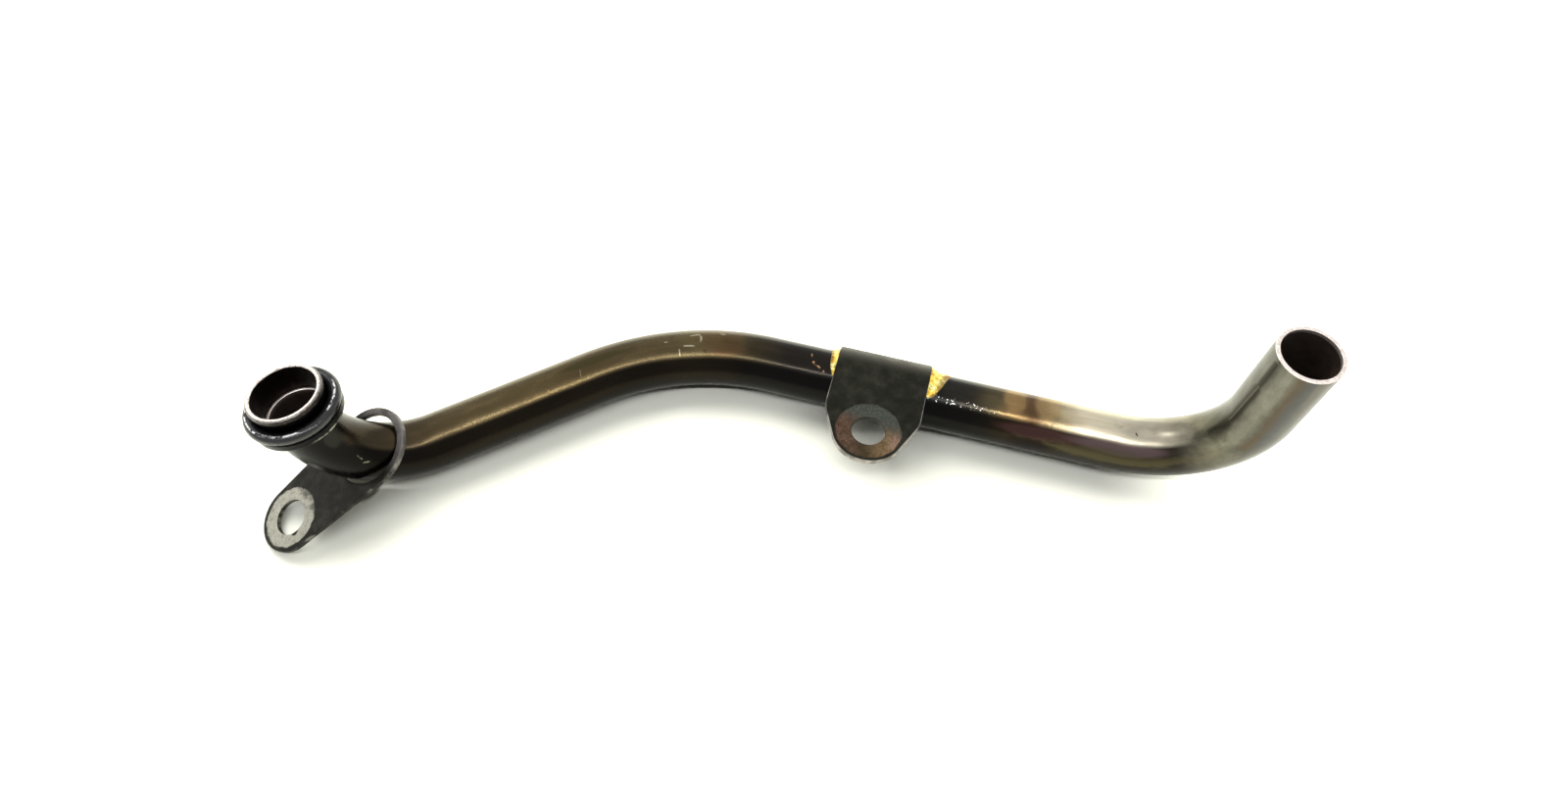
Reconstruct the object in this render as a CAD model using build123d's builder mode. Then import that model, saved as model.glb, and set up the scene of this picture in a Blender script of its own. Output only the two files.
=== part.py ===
from build123d import *
from math import cos, radians, sin, sqrt, tan
import os

# Oil return pipe, lying loose: the run is flat on the surface and both ends stand up.
# The origin is the centre of the bolt hole in the saddle bracket, at mid-sheet.
# +X runs from the spigot end to the hose end, +Z is up and -Y is the side with the bracket's ear.

# Pipe
tube_od = 15.0
tube_wall = 1.0
left_run = 92.0  # corner above the spigot bend to the middle corner
right_run = 145.0  # middle corner to the corner of the hose bend
spigot_leg = 35.4  # corner of the spigot bend to the mouth of the spigot
hose_leg = 51.3  # corner of the hose bend to the cut end
left_heading = 25.5  # degrees of the left run from +X, seen from above
middle_turn = 40.0  # degrees that the run turns at the middle bend
spigot_lean = 10.5  # degrees that the spigot leans back from upright
hose_lean = 3.5
spigot_bend_radius = 24.0
middle_bend_radius = 71.0
hose_bend_radius = 27.3
cut_edge_break = 0.2

# Spigot, turned and brazed over the end of the pipe
spigot_length = 8.8
socket_depth = 7.6  # from the mouth to the end of the pipe inside
socket_clearance = 0.1
neck_wall = 0.7
lip_stand = 0.45  # how far the lip stands out from the neck
lip_height = 1.5
flange_diameter = 21.2
flange_thickness = 2.3
flange_edge_radius = 0.4
lip_flat = 0.1  # left between the two rounded edges of the mouth

# O-ring on the spigot's neck
ring_section = 2.9
ring_clearance = 0.05
ring_gap = 0.1

# Retaining plate, loose on the pipe and lying round the spigot bend
plate_thickness = 1.5
plate_play = 0.19  # round the slanted cut of the bend that passes through the large hole
plate_band = 1.95  # width of metal round the large hole
plate_lobe_radius = 8.9
plate_hole_spacing = 26.7
plate_bolt_hole = 9.0
plate_tilt = 22.3  # degrees that the plate leans out along the run
plate_roll = 3.0  # degrees that it leans back
plate_swing = 8.0  # degrees that the lobe swings towards the front
plate_tip_gap = 0.1  # lowest point of the lobe above the surface that the pipe lies on
plate_seat_steps = 40  # halvings of the depth of the plate on the bend

# Saddle bracket, folded over the pipe and brazed
bracket_from_middle = 56.0  # middle corner to the bolt hole, along the run
bracket_width = 24.6
sheet_thickness = 1.5
saddle_gap = 0.05  # between the pipe and the sheet
saddle_wrap = 112.0  # degrees of wrap from the ear's tangent line round the back
ear_reach = 21.0  # pipe axis to the bolt hole
ear_end_radius = 9.2
ear_shoulder = 16.0  # pipe axis to where the ear starts to taper
ear_tilt = 10.0  # degrees that the ear rises from the surface
bracket_bolt_hole = 8.5

# Braze fillets at the two edges of the saddle
left_braze_width = 3.2
right_braze_width = 5.2
braze_height = 1.4
braze_gap = 0.05  # between the braze and what it joins
braze_front = 34.0  # degrees from the top of the pipe towards the ear
braze_back = 72.0  # degrees from the top of the pipe towards the back

tube_radius = tube_od / 2
bore_radius = tube_radius - tube_wall


def heading(degrees):
    """Unit vector in the surface's plane."""
    return Vector(cos(radians(degrees)), sin(radians(degrees)), 0)


# Directions of the two runs, the sides they lean to, and the two upright legs
left_direction = heading(left_heading)
right_direction = heading(left_heading - middle_turn)
left_back = heading(left_heading + 90)
right_back = heading(left_heading - middle_turn + 90)
upright = Vector(0, 0, 1)
spigot_direction = upright * cos(radians(spigot_lean)) + left_back * sin(radians(spigot_lean))
hose_direction = upright * cos(radians(hose_lean)) + right_back * sin(radians(hose_lean))

# The ear's plane: its normal leans back, and it reaches forward from the top of the pipe
ear_normal = upright * cos(radians(ear_tilt)) + right_back * sin(radians(ear_tilt))
ear_forward = upright * sin(radians(ear_tilt)) - right_back * cos(radians(ear_tilt))
sheet_inside = tube_radius + saddle_gap
sheet_outside = sheet_inside + sheet_thickness

# Everything is placed from the bolt hole in the bracket, which is the origin
bracket_axis = Vector(0, 0, 0) - ear_forward * ear_reach - ear_normal * (sheet_inside + sheet_thickness / 2)
middle_corner = bracket_axis - right_direction * bracket_from_middle
spigot_corner = middle_corner - left_direction * left_run
hose_corner = middle_corner + right_direction * right_run
spigot_mouth = spigot_corner + spigot_direction * spigot_leg
hose_mouth = hose_corner + hose_direction * hose_leg
pipe_end = spigot_mouth - spigot_direction * socket_depth
surface_height = middle_corner.Z - tube_radius

# Pipe: one bent tube with square cut ends
with BuildPart() as pipe:
    with BuildLine() as centre_line:
        FilletPolyline(
            pipe_end,
            spigot_corner,
            middle_corner,
            hose_corner,
            hose_mouth,
            radius=[spigot_bend_radius, middle_bend_radius, hose_bend_radius],
        )
    with BuildSketch(Plane(origin=pipe_end, z_dir=-spigot_direction)):
        Circle(tube_radius)
        Circle(bore_radius, mode=Mode.SUBTRACT)
    sweep()
    cut_rims = pipe.edges().filter_by(GeomType.CIRCLE).sort_by(Axis.Z)[-4:]
    chamfer([rim for rim in cut_rims if (rim.arc_center - hose_mouth).length < tube_wall], cut_edge_break)

# Spigot: revolved about its own axis, drawn from the mouth downwards
socket_radius = tube_radius + socket_clearance
neck_radius = socket_radius + neck_wall
lip_radius = neck_radius + lip_stand
flange_radius = flange_diameter / 2
flange_top = spigot_length - flange_thickness
spigot_plane = Plane(origin=spigot_mouth, x_dir=left_direction, z_dir=left_direction.cross(spigot_direction))
with BuildPart() as spigot:
    with BuildSketch(spigot_plane):
        with BuildLine():
            Polyline(
                (socket_radius, 0),
                (lip_radius, 0),
                (lip_radius, -lip_height),
                (neck_radius, -lip_height - lip_stand),
                (neck_radius, -flange_top),
                (flange_radius, -flange_top),
                (flange_radius, -spigot_length),
                (socket_radius, -spigot_length),
                close=True,
            )
        make_face()
    revolve(axis=Axis(spigot_mouth, spigot_direction))
    mouth_rims = spigot.edges().filter_by(GeomType.CIRCLE).group_by(Axis(spigot_mouth, spigot_direction))[-1]
    fillet(mouth_rims, (lip_radius - socket_radius - lip_flat) / 2)
    flange_rims = spigot.edges().filter_by(GeomType.CIRCLE).sort_by(lambda rim: rim.radius)[-2:]
    fillet(flange_rims, flange_edge_radius)

# O-ring: sits round the neck against the flange
ring_radius = neck_radius + ring_clearance + ring_section / 2
ring_height = -flange_top + ring_gap + ring_section / 2
with BuildPart() as o_ring:
    with BuildSketch(spigot_plane):
        with Locations((ring_radius, ring_height)):
            Circle(ring_section / 2)
    revolve(axis=Axis(spigot_mouth, spigot_direction))

# Retaining plate: flat, with a large hole for the pipe and a lobe for the bolt
plate_normal = (
    upright
    - left_direction * tan(radians(plate_tilt))
    + left_back * tan(radians(plate_roll))
).normalized()
lobe_heading = heading(left_heading + 180 + plate_swing)
lobe_direction = (lobe_heading - plate_normal * lobe_heading.dot(plate_normal)).normalized()
downhill = (plate_normal * plate_normal.Z - upright).normalized()
bend_centre = spigot_corner + (left_direction + spigot_direction) * spigot_bend_radius
bend_axis = left_direction.cross(spigot_direction)
through_bend = bend_axis.cross(plate_normal).normalized()
into_bend = through_bend.cross(bend_axis)


def plate_seat(depth):
    """Centre and radius of the hole that passes the bend at this depth below the centre of the bend."""
    outer_reach = sqrt((spigot_bend_radius + tube_radius) ** 2 - (depth - plate_thickness / 2) ** 2)
    inner_reach = sqrt((spigot_bend_radius - tube_radius) ** 2 - (depth + plate_thickness / 2) ** 2)
    centre = bend_centre - into_bend * depth + through_bend * (outer_reach + inner_reach) / 2
    return centre, (outer_reach - inner_reach) / 2 + plate_play


# The plate slides down the bend until the tip of its lobe is on the surface
shallow = 0.0
deep = spigot_bend_radius - tube_radius - plate_thickness / 2
for step in range(plate_seat_steps):
    plate_depth = (shallow + deep) / 2
    plate_centre, plate_hole_radius = plate_seat(plate_depth)
    lobe_tip = plate_centre + lobe_direction * plate_hole_spacing + downhill * plate_lobe_radius
    if lobe_tip.Z - plate_normal.Z * plate_thickness / 2 > surface_height + plate_tip_gap:
        shallow = plate_depth
    else:
        deep = plate_depth
plate_ring_radius = plate_hole_radius + plate_band
with BuildPart() as retaining_plate:
    with BuildSketch(Plane(origin=plate_centre, x_dir=lobe_direction, z_dir=plate_normal)):
        Circle(plate_ring_radius)
        with Locations((plate_hole_spacing, 0)):
            Circle(plate_lobe_radius)
        make_hull()
        Circle(plate_hole_radius, mode=Mode.SUBTRACT)
        with Locations((plate_hole_spacing, 0)):
            Circle(plate_bolt_hole / 2, mode=Mode.SUBTRACT)
    extrude(amount=plate_thickness / 2, both=True)

# Saddle bracket: one sheet, folded round the back of the pipe and flat in front
bracket_plane = Plane(origin=bracket_axis, x_dir=ear_forward, z_dir=-right_direction)
ear_plane = Plane(origin=bracket_axis, x_dir=ear_forward, z_dir=ear_normal)
with BuildPart() as saddle_bracket:
    with BuildSketch(bracket_plane):
        with BuildLine():
            wrap_inside = CenterArc((0, 0), sheet_inside, 90, saddle_wrap)
            wrap_outside = CenterArc((0, 0), sheet_outside, 90, saddle_wrap)
            Line(wrap_inside @ 1, wrap_outside @ 1)
            Polyline(
                wrap_inside @ 0,
                (ear_reach + ear_end_radius, sheet_inside),
                (ear_reach + ear_end_radius, sheet_outside),
                wrap_outside @ 0,
            )
        make_face()
    extrude(amount=bracket_width / 2, both=True)
    # The ear tapers from its shoulders to a round end
    with BuildSketch(ear_plane) as ear_outline:
        with BuildLine():
            Polyline(
                (-sheet_outside, -bracket_width / 2),
                (ear_shoulder, -bracket_width / 2),
                (ear_shoulder, bracket_width / 2),
                (-sheet_outside, bracket_width / 2),
                close=True,
            )
        make_face()
        with Locations((ear_reach, 0)):
            Circle(ear_end_radius)
        make_hull()
    extrude(amount=2 * sheet_outside, both=True, mode=Mode.INTERSECT)
    with BuildSketch(ear_plane):
        with Locations((ear_reach, 0)):
            Circle(bracket_bolt_hole / 2)
    extrude(amount=2 * sheet_outside, mode=Mode.SUBTRACT)


def braze_profile(width):
    """Concave fillet from the saddle's edge down to the pipe, in a plane through the pipe's axis."""
    edge = bracket_width / 2 + braze_gap
    foot = (edge + width, sheet_inside)
    corner = (edge, sheet_inside)
    crest = (edge, sheet_inside + braze_height)
    Polyline(crest, corner, foot)
    TangentArc(foot, crest, tangent=(-1, 0))


# Braze fillets: each follows the edge of the saddle over the top of the pipe, from the back
braze_span = braze_front + braze_back
braze_start = ear_normal * cos(radians(braze_back)) - ear_forward * sin(radians(braze_back))
run_axis = Axis(bracket_axis, right_direction)
with BuildPart() as left_braze:
    with BuildSketch(Plane(bracket_axis, -right_direction, braze_start.cross(right_direction))):
        with BuildLine():
            braze_profile(left_braze_width)
        make_face()
    revolve(axis=run_axis, revolution_arc=braze_span)

with BuildPart() as right_braze:
    with BuildSketch(Plane(bracket_axis, right_direction, right_direction.cross(braze_start))):
        with BuildLine():
            braze_profile(right_braze_width)
        make_face()
    revolve(axis=run_axis, revolution_arc=braze_span)

os.makedirs("parts", exist_ok=True)
pipe.part.label = "pipe"
export_step(pipe.part, "parts/pipe.step")
spigot.part.label = "spigot"
export_step(spigot.part, "parts/spigot.step")
o_ring.part.label = "o_ring"
export_step(o_ring.part, "parts/o_ring.step")
retaining_plate.part.label = "retaining_plate"
export_step(retaining_plate.part, "parts/retaining_plate.step")
saddle_bracket.part.label = "saddle_bracket"
export_step(saddle_bracket.part, "parts/saddle_bracket.step")
left_braze.part.label = "left_braze"
export_step(left_braze.part, "parts/left_braze.step")
right_braze.part.label = "right_braze"
export_step(right_braze.part, "parts/right_braze.step")
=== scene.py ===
from math import acos, atan2, ceil, cos, pi, radians, sin, tan

import bpy
import numpy as np
from mathutils import Matrix, Vector, noise
from mathutils.geometry import delaunay_2d_cdt


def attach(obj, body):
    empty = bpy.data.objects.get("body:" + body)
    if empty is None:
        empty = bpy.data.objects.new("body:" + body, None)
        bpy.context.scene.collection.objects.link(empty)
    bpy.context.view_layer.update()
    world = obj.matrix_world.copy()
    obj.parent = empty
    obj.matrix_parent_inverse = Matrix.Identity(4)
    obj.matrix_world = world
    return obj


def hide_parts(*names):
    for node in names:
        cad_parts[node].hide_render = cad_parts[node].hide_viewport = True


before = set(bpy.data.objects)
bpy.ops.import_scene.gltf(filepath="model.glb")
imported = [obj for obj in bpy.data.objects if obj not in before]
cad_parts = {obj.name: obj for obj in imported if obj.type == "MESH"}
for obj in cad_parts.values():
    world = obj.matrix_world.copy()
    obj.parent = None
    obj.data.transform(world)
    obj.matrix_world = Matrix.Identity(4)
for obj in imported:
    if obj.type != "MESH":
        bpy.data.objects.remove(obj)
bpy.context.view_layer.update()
MM = 0.001

# sizes of the part, in millimetres and degrees
tube_radius = 7.5
bore_radius = 6.5
left_run = 92.0
right_run = 145.0
spigot_leg = 35.4
hose_leg = 51.3
left_heading = 25.5
middle_turn = 40.0
spigot_lean = 10.5
hose_lean = 3.5
spigot_bend_radius = 24.0
middle_bend_radius = 71.0
hose_bend_radius = 27.3

spigot_length = 8.8
socket_depth = 7.6
socket_radius = 7.6
neck_radius = 8.3
lip_radius = 8.75
lip_height = 1.5
lip_slope = 0.45
flange_radius = 10.6
flange_thickness = 2.3
ring_section = 2.9
ring_radius = 9.8
ring_height = -4.95

plate_thickness = 1.5
plate_hole_radius = 9.0
plate_band = 1.95
plate_lobe_radius = 8.9
plate_hole_spacing = 26.7
plate_bolt_hole = 9.0
plate_tilt = 22.3
plate_roll = 3.0
plate_swing = 8.0
# where the plate's large hole comes to rest on the pipe, as the CAD source works it out
plate_centre = np.array((-125.588, -2.362, -5.344))

bracket_from_middle = 56.0
bracket_width = 24.6
sheet_thickness = 1.5
saddle_wrap = 112.0
ear_reach = 21.0
ear_end_radius = 9.2
ear_shoulder = 16.0
ear_fillet = 9.0
ear_tilt = 10.0
bracket_bolt_hole = 8.5
sheet_inside = tube_radius + 0.05

# the brazes run between these angles from the ear's normal, and 1 degree is this long on the pipe
braze_from = -72.0
braze_to = 34.0
degree_on_pipe = 0.13


def heading(degrees):
    """A level direction, turned from +X towards +Y."""
    return np.array((cos(radians(degrees)), sin(radians(degrees)), 0.0))


def leaning(degrees, towards):
    """A direction that leans from upright towards a level one."""
    return upright * cos(radians(degrees)) + towards * sin(radians(degrees))


def unit(v):
    return v / np.linalg.norm(v)


def full_turn(count):
    return np.linspace(0, 2 * pi, count, endpoint=False)


upright = np.array((0.0, 0.0, 1.0))
left_direction = heading(left_heading)
right_direction = heading(left_heading - middle_turn)
left_back = heading(left_heading + 90)
right_back = heading(left_heading - middle_turn + 90)
spigot_direction = leaning(spigot_lean, left_back)
hose_direction = leaning(hose_lean, right_back)
ear_normal = leaning(ear_tilt, right_back)
ear_forward = upright * sin(radians(ear_tilt)) - right_back * cos(radians(ear_tilt))
bracket_axis = -ear_forward * ear_reach - ear_normal * (sheet_inside + sheet_thickness / 2)
middle_corner = bracket_axis - right_direction * bracket_from_middle
spigot_corner = middle_corner - left_direction * left_run
hose_corner = middle_corner + right_direction * right_run
spigot_mouth = spigot_corner + spigot_direction * spigot_leg
hose_mouth = hose_corner + hose_direction * hose_leg
pipe_end = spigot_mouth - spigot_direction * socket_depth
surface_height = middle_corner[2] - tube_radius
tilt_slope = tan(radians(plate_tilt))
roll_slope = tan(radians(plate_roll))
plate_normal = unit(upright - left_direction * tilt_slope + left_back * roll_slope)
lobe_heading = heading(left_heading + 180 + plate_swing)
lobe_direction = unit(lobe_heading - plate_normal * lobe_heading.dot(plate_normal))
plate_side = np.cross(plate_normal, lobe_direction)


# centre line of the pipe
def centre_line(step):
    """Points, directions and lengths along the pipe. Lengths on the right run are from the middle corner."""
    corners = [pipe_end, spigot_corner, middle_corner, hose_corner, hose_mouth]
    radii = [spigot_bend_radius, middle_bend_radius, hose_bend_radius]
    samples = []
    start = pipe_end
    travelled = 0.0
    middle_end = 0.0
    for i, radius in enumerate(radii):
        into = unit(corners[i + 1] - corners[i])
        out = unit(corners[i + 2] - corners[i + 1])
        turn = acos(into.dot(out))
        reach = radius * tan(turn / 2)
        bend_start = corners[i + 1] - into * reach
        run = np.linalg.norm(bend_start - start)
        samples += [(start + into * d, into, travelled + d) for d in np.arange(0, run, step)]
        travelled += run
        inward = unit(out - into * into.dot(out))
        for a in np.arange(0, turn, step / radius):
            point = bend_start + into * radius * sin(a) + inward * radius * (1 - cos(a))
            samples.append((point, into * cos(a) + inward * sin(a), travelled + a * radius))
        travelled += turn * radius
        start = corners[i + 1] + out * reach
        if corners[i + 1] is middle_corner:
            middle_end = travelled - reach
    out = unit(hose_mouth - hose_corner)
    run = np.linalg.norm(hose_mouth - start)
    samples += [(start + out * d, out, travelled + d) for d in np.linspace(0, run, int(run / step))]
    points, directions, lengths = map(np.array, zip(*samples))
    return points, directions, lengths - middle_end


def carry(up, before, after):
    """Turns a side direction with the pipe as its direction changes."""
    axis = np.cross(before, after)
    size = np.linalg.norm(axis)
    if size < 1e-9:
        return up
    axis = axis / size
    angle = atan2(size, before.dot(after))
    turned = up * cos(angle) + np.cross(axis, up) * sin(angle)
    turned = turned + axis * axis.dot(up) * (1 - cos(angle))
    return unit(turned - after * after.dot(turned))


line_points, line_directions, line_along = centre_line(0.25)
middle = int(np.argmin(np.abs(line_along)))
line_tops = np.zeros_like(line_points)
line_tops[middle] = upright
for steps, way in ((range(middle + 1, len(line_points)), 1), (range(middle - 1, -1, -1), -1)):
    for i in steps:
        line_tops[i] = carry(line_tops[i - way], line_directions[i - way], line_directions[i])
line_fronts = np.cross(line_directions, line_tops)
along_start = float(line_along[0])
along_end = float(line_along[-1])


def on_line(table, along):
    return np.stack([np.interp(along, line_along, table[:, k]) for k in range(3)], axis=-1)


def on_pipe(along, around, radius):
    """Points at a distance along the pipe, an angle from its top towards its front, and a radius."""
    centre = on_line(line_points, along)
    top = on_line(line_tops, along)
    front = on_line(line_fronts, along)
    return centre + radius[..., None] * (np.cos(around)[..., None] * top + np.sin(around)[..., None] * front)


# mesh helpers
def make_piece(name, points, faces, attributes, materials, face_material=None):
    """One smooth mesh piece from points in millimetres, with its shading coordinates on the vertices."""
    mesh = bpy.data.meshes.new(name)
    mesh.from_pydata((np.asarray(points) * MM).tolist(), [], [list(map(int, f)) for f in faces])
    for key, values in attributes.items():
        values = np.asarray(values, np.float32)
        kind, field = ("FLOAT", "value") if values.ndim == 1 else ("FLOAT_VECTOR", "vector")
        layer = mesh.attributes.new(key, kind, "POINT")
        layer.data.foreach_set(field, values.ravel())
    mesh.polygons.foreach_set("use_smooth", [True] * len(mesh.polygons))
    mesh.update()
    for material in materials:
        mesh.materials.append(material)
    if face_material is not None:
        mesh.polygons.foreach_set("material_index", np.asarray(face_material, np.int32))
    return place_object(name, mesh)


def place_object(name, data):
    thing = bpy.data.objects.new(name, data)
    bpy.context.scene.collection.objects.link(thing)
    return thing


def turn_profile(profile, columns):
    """Turns (radius, height) pairs about an axis: grids of angles, radii and heights, and the places."""
    angle = np.repeat(full_turn(columns)[None, :], len(profile), axis=0)
    radius, height = (np.repeat(profile[:, k][:, None], columns, axis=1) for k in (0, 1))
    places = np.stack([radius * np.cos(angle), radius * np.sin(angle), height], axis=-1).reshape(-1, 3)
    return angle, radius, height, places


def grid_faces(rows, columns, wrap_rows=False, wrap_columns=True):
    """Four-sided faces between the points of a grid, which are stored row by row."""
    faces = []
    for i in range(rows if wrap_rows else rows - 1):
        here = i * columns
        below = (i + 1) % rows * columns
        for j in range(columns if wrap_columns else columns - 1):
            beside = (j + 1) % columns
            faces.append((here + j, here + beside, below + beside, below + j))
    return faces


def rounded(corners, radii, steps):
    """A polyline in the plane with each corner rounded by its radius."""
    corners = np.asarray(corners, float)
    result = [corners[0]]
    for i in range(1, len(corners) - 1):
        a, b, c = corners[i - 1], corners[i], corners[i + 1]
        r = radii[i]
        u = unit(a - b)
        v = unit(c - b)
        half = acos(max(-1.0, min(1.0, u.dot(v)))) / 2
        if r <= 0 or half > pi / 2 - 1e-3:
            result.append(b)
            continue
        reach = r / tan(half)
        centre = b + unit(u + v) * (r / sin(half))
        first = b + u * reach - centre
        last = b + v * reach - centre
        angle = acos(max(-1.0, min(1.0, unit(first).dot(unit(last)))))
        for k in range(steps + 1):
            t = k / steps
            bow = first * sin((1 - t) * angle) + last * sin(t * angle)
            result.append(centre + bow / sin(angle))
    result.append(corners[-1])
    return np.array(result)


def spread(line, step):
    """The same polyline with no segment longer than step."""
    result = [line[0]]
    for a, b in zip(line[:-1], line[1:]):
        parts = max(1, int(ceil(np.linalg.norm(b - a) / step)))
        for k in range(1, parts + 1):
            result.append(a + (b - a) * k / parts)
    return np.array(result)


def lumps(points, scale, seed):
    """Smooth noise from -1 to 1 at each point."""
    offset = Vector((seed * 17.3, seed * 5.1, seed * 9.7))
    roughness, gap, octaves = 1.0, 2.0, 2
    places = [Vector(p) * scale + offset for p in np.asarray(points).tolist()]
    return np.array([noise.fractal(place, roughness, gap, octaves) for place in places])


# materials
class Nodes:
    """Short calls that add shader nodes to one tree."""

    def __init__(self, tree):
        self.tree = tree
        tree.nodes.clear()

    def add(self, kind, **inputs):
        node = self.tree.nodes.new(kind)
        for key, value in inputs.items():
            self.put(node.inputs[key.replace("_", " ")], value)
        return node

    def put(self, socket, value):
        if isinstance(value, bpy.types.NodeSocket):
            self.tree.links.new(value, socket)
        elif isinstance(value, tuple) and len(value) == 3 and socket.type == "RGBA":
            socket.default_value = (*value, 1.0)
        else:
            socket.default_value = value

    def math(self, operation, a, b=0.0, clamp=False):
        node = self.add("ShaderNodeMath")
        node.operation = operation
        node.use_clamp = clamp
        self.put(node.inputs[0], a)
        self.put(node.inputs[1], b)
        return node.outputs[0]

    def plus(self, a, b):
        return self.math("ADD", a, b)

    def minus(self, a, b):
        return self.math("SUBTRACT", a, b)

    def times(self, a, b):
        return self.math("MULTIPLY", a, b)

    def most(self, a, b):
        return self.math("MAXIMUM", a, b)

    def squares(self, side, *others):
        square = self.times(side, side)
        return self.plus(square, self.squares(*others)) if others else square

    def length(self, *sides):
        return self.math("SQRT", self.squares(*sides))

    def swing(self, pattern, amount):
        """A noise from 0 to 1 as a swing of half the amount to each side."""
        return self.times(self.minus(pattern, 0.5), amount)

    def split(self, vector):
        return list(self.add("ShaderNodeSeparateXYZ", Vector=vector).outputs)

    def join(self, x, y, z):
        return self.add("ShaderNodeCombineXYZ", X=x, Y=y, Z=z).outputs[0]

    def between(self, value, low, high, start=0.0, end=1.0, smooth=True):
        """Maps low..high to start..end, held outside."""
        limits = {"From_Min": low, "From_Max": high, "To_Min": start, "To_Max": end}
        node = self.add("ShaderNodeMapRange", Value=value, **limits)
        node.interpolation_type = "SMOOTHSTEP" if smooth else "LINEAR"
        return node.outputs["Result"]

    def fall(self, value, low, high):
        return self.between(value, low, high, 1.0, 0.0)

    def band(self, value, low, high, soft):
        """1 inside low..high, falling to 0 over soft on both sides."""
        rise = self.between(value, low - soft, low + soft)
        return self.times(rise, self.fall(value, high - soft, high + soft))

    def ramp(self, value, stops):
        node = self.add("ShaderNodeValToRGB", Fac=value)
        elements = node.color_ramp.elements
        for element, (position, colour) in zip(elements, (stops[0], stops[-1])):
            element.position = position
            element.color = (*colour, 1.0)
        for position, colour in stops[1:-1]:
            elements.new(position).color = (*colour, 1.0)
        return node.outputs["Color"]

    def background_seen(self):
        """1 for the rays that show the background: the camera's, and those in metal and glass."""
        ray = self.add("ShaderNodeLightPath")
        seen = self.most(ray.outputs["Is Camera Ray"], ray.outputs["Is Glossy Ray"])
        return self.most(seen, ray.outputs["Is Transmission Ray"])


class Paint(Nodes):
    """One procedural material on a Principled shader."""

    def __init__(self, name):
        self.material = bpy.data.materials.new(name)
        self.material.use_nodes = True
        super().__init__(self.material.node_tree)

    def attribute(self, name, output="Vector"):
        node = self.add("ShaderNodeAttribute")
        node.attribute_name = name
        return node.outputs[output]

    def stretch(self, vector, x, y, z, shift=(0.0, 0.0, 0.0)):
        return self.add("ShaderNodeMapping", Vector=vector, Scale=(x, y, z), Location=shift).outputs[0]

    def noise(self, vector, scale, detail=3.0, roughness=0.55):
        node = self.add("ShaderNodeTexNoise", Vector=vector, Scale=scale, Detail=detail, Roughness=roughness)
        return node.outputs["Fac"]

    def cells(self, vector, scale):
        return self.add("ShaderNodeTexVoronoi", Vector=vector, Scale=scale).outputs["Distance"]

    def mix(self, factor, a, b, blend="MIX"):
        node = self.add("ShaderNodeMix", Factor=factor)
        node.data_type = "RGBA"
        node.blend_type = blend
        # of a Mix node's sockets, 6 and 7 are the colours going in, and 2 is the one coming out
        self.put(node.inputs[6], a)
        self.put(node.inputs[7], b)
        return node.outputs[2]

    def tinted(self, colour, tint):
        return self.mix(1.0, colour, tint, "MULTIPLY")

    def shaded(self, factor, colour, tint):
        """The colour, times the tint where the factor is 1."""
        return self.mix(factor, colour, self.tinted(colour, tint))

    def bump(self, height, distance):
        """A bump normal. The distance is in millimetres."""
        return self.add("ShaderNodeBump", Height=height, Distance=distance * MM).outputs["Normal"]

    def patch(self, straight, at, angle, reach, width, wobble):
        """A soft spot on the pipe: centred at a distance along and an angle round it."""
        top, front, along = straight
        spot_top = tube_radius * cos(radians(angle))
        spot_front = tube_radius * sin(radians(angle))
        distance = self.length(
            self.math("DIVIDE", self.minus(along, at), reach),
            self.math("DIVIDE", self.minus(top, spot_top), width),
            self.math("DIVIDE", self.minus(front, spot_front), width),
        )
        return self.fall(self.plus(distance, wobble), 0.6, 1.1)

    def strokes(self, along, arc, marks, soft):
        """1 on each thin mark, drawn from one (along, angle) to another with a width in millimetres."""
        total = None
        for (along_from, angle_from), (along_to, angle_to), width in marks:
            arc_from = radians(angle_from) * tube_radius
            run = along_to - along_from
            rise = radians(angle_to) * tube_radius - arc_from
            a = self.minus(along, along_from)
            s = self.minus(arc, arc_from)
            travelled = self.plus(self.times(a, run), self.times(s, rise))
            t = self.math("DIVIDE", travelled, run * run + rise * rise, clamp=True)
            distance = self.length(self.minus(a, self.times(t, run)), self.minus(s, self.times(t, rise)))
            mark = self.fall(distance, width * soft, width)
            total = mark if total is None else self.most(total, mark)
        return total

    def finish(self, **inputs):
        shader = self.add("ShaderNodeBsdfPrincipled", **inputs)
        self.add("ShaderNodeOutputMaterial", Surface=shader.outputs["BSDF"])
        return self.material


# the pipe's colour at distances along it
pipe_colours = [
    (-107, (0.0218, 0.021, 0.0143)),
    (-92, (0.0252, 0.021, 0.0126)),
    (-74, (0.0585, 0.0432, 0.0225)),
    (-60, (0.0833, 0.063, 0.0297)),
    (-30, (0.09, 0.0675, 0.0297)),
    (-8, (0.0743, 0.0563, 0.027)),
    (4, (0.0903, 0.0714, 0.0328)),
    (14, (0.0754, 0.051, 0.0218)),
    (21, (0.039, 0.0312, 0.0163)),
    (30, (0.0162, 0.0133, 0.0104)),
    (72, (0.0085, 0.0095, 0.009)),
    (80, (0.0224, 0.02, 0.0152)),
    (86, (0.0744, 0.0608, 0.0322)),
    (91, (0.174, 0.116, 0.0493)),
    (95.5, (0.0868, 0.0496, 0.0236)),
    (98.5, (0.124, 0.0806, 0.0372)),
    (102, (0.31, 0.248, 0.1364)),
    (109, (0.5208, 0.4712, 0.3596)),
    (122, (0.448, 0.42, 0.336)),
    (133, (0.36, 0.335, 0.265)),
    (142, (0.18, 0.1692, 0.126)),
    (154, (0.1344, 0.1316, 0.1036)),
    (164, (0.1605, 0.1577, 0.1273)),
    (184, (0.1674, 0.1647, 0.1377)),
]

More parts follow.
